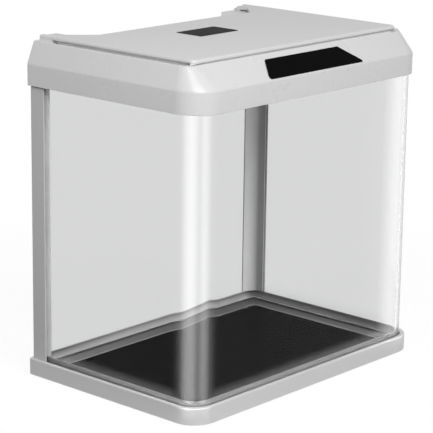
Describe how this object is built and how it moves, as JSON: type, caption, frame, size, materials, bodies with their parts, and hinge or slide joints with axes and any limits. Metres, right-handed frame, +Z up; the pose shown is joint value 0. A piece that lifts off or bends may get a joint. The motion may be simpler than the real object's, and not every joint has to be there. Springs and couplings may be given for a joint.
{
  "type": "small aquarium",
  "caption": "Small bent-glass aquarium in a pale grey base frame, with a lift-off hood, a flip-up lid and a lamp under the rear deck.",
  "frame": {"origin": "on the standing surface, under the middle of the base", "axes": "+X to the right seen from the front, +Y to the rear where the lid is hinged, +Z up"},
  "size_m": [0.3, 0.2009, 0.3021],
  "materials": {
    "grey_plastic": "satin",
    "foot_rubber": "matt",
    "black_mat": "matt",
    "glass": "polished",
    "silicone": "satin",
    "steel": "satin",
    "lamp_plastic": "satin",
    "circuit_board": "satin",
    "led": "gloss",
    "lens": "frosted",
    "black_plastic": "satin",
    "lead_sheath": "satin",
    "black_plate": "gloss"
  },
  "bodies": {
    "tank": {"base_frame": "grey_plastic", "base_feet": "foot_rubber", "floor_mat": "black_mat", "bottom_glass": "glass", "bent_glass": "glass", "rear_glass": "glass", "floor_seal": "silicone", "left_seam_seal": "silicone", "right_seam_seal": "silicone", "left_rear_post": "grey_plastic", "right_rear_post": "grey_plastic"},
    "hood": {"hood_shell": "grey_plastic", "left_hinge_pin": "steel", "right_hinge_pin": "steel", "lamp_housing": "lamp_plastic", "led_board": "circuit_board", "leds": "led", "lamp_lens": "lens", "lamp_screws": "steel", "power_inlet": "black_plastic", "inlet_nut": "steel", "lamp_lead": "lead_sheath", "front_label_plate": "black_plate"},
    "lid": {"lid_panel": "grey_plastic", "lid_label_plate": "black_plate"}
  },
  "joints": [
    {"name": "hood_lift", "type": "slide", "parent": "tank", "child": "hood", "axis": [0, 0, 1], "range_m": [0, 0.06]},
    {"name": "lid_hinge", "type": "hinge", "parent": "hood", "child": "lid", "pos_m": [0, 0.0949, 0.299], "axis": [-1, 0, 0], "range_deg": [0, 110]}
  ]
}
